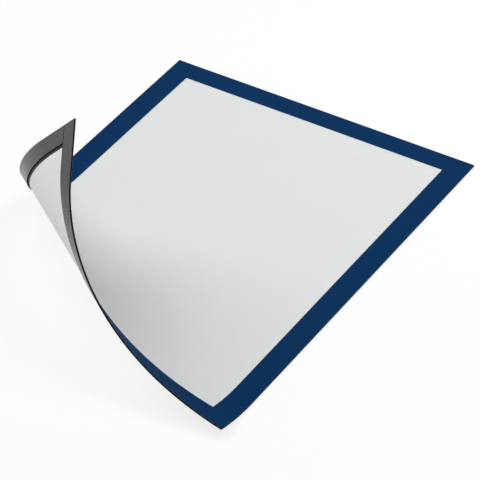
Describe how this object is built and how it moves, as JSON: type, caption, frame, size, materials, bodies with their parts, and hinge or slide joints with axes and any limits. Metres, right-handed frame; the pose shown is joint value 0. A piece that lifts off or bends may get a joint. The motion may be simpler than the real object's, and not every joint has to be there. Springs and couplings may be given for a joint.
{
  "type": "magnetic photo frame",
  "caption": "Thin flexible frame for an A4 sheet: coloured border round a clear window, magnetic strips on the back, with one corner peeled up.",
  "frame": {"origin": "middle of the frame, on the plane of the magnets' backs", "axes": "+X along the short edges, +Y along the long edges towards the open top edge, +Z out of the front"},
  "size_m": [0.2366, 0.3229, 0.117],
  "materials": {
    "border_film": "matt printed film",
    "window_film": "clear, anti-glare",
    "insert_paper": "uncoated, pale",
    "backing_film": "matt",
    "magnet_strip": "matt, ferrite filled"
  },
  "bodies": {
    "panel": {"front_border_panel": "border_film", "window_film_panel": "window_film", "insert_sheet_panel": "insert_paper", "backing_ring_panel": "backing_film", "magnet_top_panel": "magnet_strip", "magnet_left_panel": "magnet_strip", "magnet_right_panel": "magnet_strip"},
    "fold_1": {"front_border_fold_1": "border_film", "window_film_fold_1": "window_film", "insert_sheet_fold_1": "insert_paper", "backing_ring_fold_1": "backing_film", "magnet_bottom_fold_1": "magnet_strip", "magnet_left_fold_1": "magnet_strip", "magnet_right_fold_1": "magnet_strip"},
    "fold_2": {"front_border_fold_2": "border_film", "window_film_fold_2": "window_film", "insert_sheet_fold_2": "insert_paper", "backing_ring_fold_2": "backing_film", "magnet_bottom_fold_2": "magnet_strip", "magnet_left_fold_2": "magnet_strip"},
    "fold_3": {"front_border_fold_3": "border_film", "window_film_fold_3": "window_film", "insert_sheet_fold_3": "insert_paper", "backing_ring_fold_3": "backing_film", "magnet_bottom_fold_3": "magnet_strip", "magnet_left_fold_3": "magnet_strip"},
    "fold_4": {"front_border_fold_4": "border_film", "window_film_fold_4": "window_film", "insert_sheet_fold_4": "insert_paper", "backing_ring_fold_4": "backing_film", "magnet_bottom_fold_4": "magnet_strip", "magnet_left_fold_4": "magnet_strip"},
    "fold_5": {"front_border_fold_5": "border_film", "window_film_fold_5": "window_film", "insert_sheet_fold_5": "insert_paper", "backing_ring_fold_5": "backing_film", "magnet_bottom_fold_5": "magnet_strip", "magnet_left_fold_5": "magnet_strip"},
    "fold_6": {"front_border_fold_6": "border_film", "window_film_fold_6": "window_film", "insert_sheet_fold_6": "insert_paper", "backing_ring_fold_6": "backing_film", "magnet_bottom_fold_6": "magnet_strip", "magnet_left_fold_6": "magnet_strip"},
    "fold_7": {"front_border_fold_7": "border_film", "window_film_fold_7": "window_film", "insert_sheet_fold_7": "insert_paper", "backing_ring_fold_7": "backing_film", "magnet_bottom_fold_7": "magnet_strip", "magnet_left_fold_7": "magnet_strip"},
    "fold_8": {"front_border_fold_8": "border_film", "window_film_fold_8": "window_film", "insert_sheet_fold_8": "insert_paper", "backing_ring_fold_8": "backing_film", "magnet_bottom_fold_8": "magnet_strip", "magnet_left_fold_8": "magnet_strip"}
  },
  "joints": [
    {"name": "corner_peel", "type": "hinge", "parent": "panel", "child": "fold_1", "pos_m": [0, -0.06252, 0.00125], "axis": [-0.8454, 0.5341, 0], "range_deg": [-15, 3]},
    {"name": "fold_2_bend", "type": "hinge", "parent": "fold_1", "child": "fold_2", "pos_m": [-0.00039, -0.08165, 0.00564], "axis": [-0.8288, 0.5595, -0.0081], "range_deg": [-15, 3]},
    {"name": "fold_3_bend", "type": "hinge", "parent": "fold_2", "child": "fold_3", "pos_m": [-0.01745, -0.08751, 0.01386], "axis": [-0.8131, 0.5817, -0.0238], "range_deg": [-15, 3]},
    {"name": "fold_4_bend", "type": "hinge", "parent": "fold_3", "child": "fold_4", "pos_m": [-0.03159, -0.09162, 0.02521], "axis": [-0.7993, 0.5991, -0.046], "range_deg": [-15, 3]},
    {"name": "fold_5_bend", "type": "hinge", "parent": "fold_4", "child": "fold_5", "pos_m": [-0.04258, -0.0935, 0.03884], "axis": [-0.7885, 0.6107, -0.0731], "range_deg": [-15, 3]},
    {"name": "fold_6_bend", "type": "hinge", "parent": "fold_5", "child": "fold_6", "pos_m": [-0.05025, -0.09284, 0.05384], "axis": [-0.7813, 0.6155, -0.1033], "range_deg": [-15, 3]},
    {"name": "fold_7_bend", "type": "hinge", "parent": "fold_6", "child": "fold_7", "pos_m": [-0.05451, -0.08954, 0.06924], "axis": [-0.7783, 0.6133, -0.1345], "range_deg": [-15, 3]},
    {"name": "fold_8_bend", "type": "hinge", "parent": "fold_7", "child": "fold_8", "pos_m": [-0.05538, -0.0837, 0.08408], "axis": [-0.7797, 0.6041, -0.1645], "range_deg": [-15, 3]}
  ],
  "couplings": [
    {"joint": "fold_2_bend", "follows": "corner_peel", "ratio": 1},
    {"joint": "fold_3_bend", "follows": "corner_peel", "ratio": 1},
    {"joint": "fold_4_bend", "follows": "corner_peel", "ratio": 1},
    {"joint": "fold_5_bend", "follows": "corner_peel", "ratio": 1},
    {"joint": "fold_6_bend", "follows": "corner_peel", "ratio": 1},
    {"joint": "fold_7_bend", "follows": "corner_peel", "ratio": 1},
    {"joint": "fold_8_bend", "follows": "corner_peel", "ratio": 1}
  ]
}
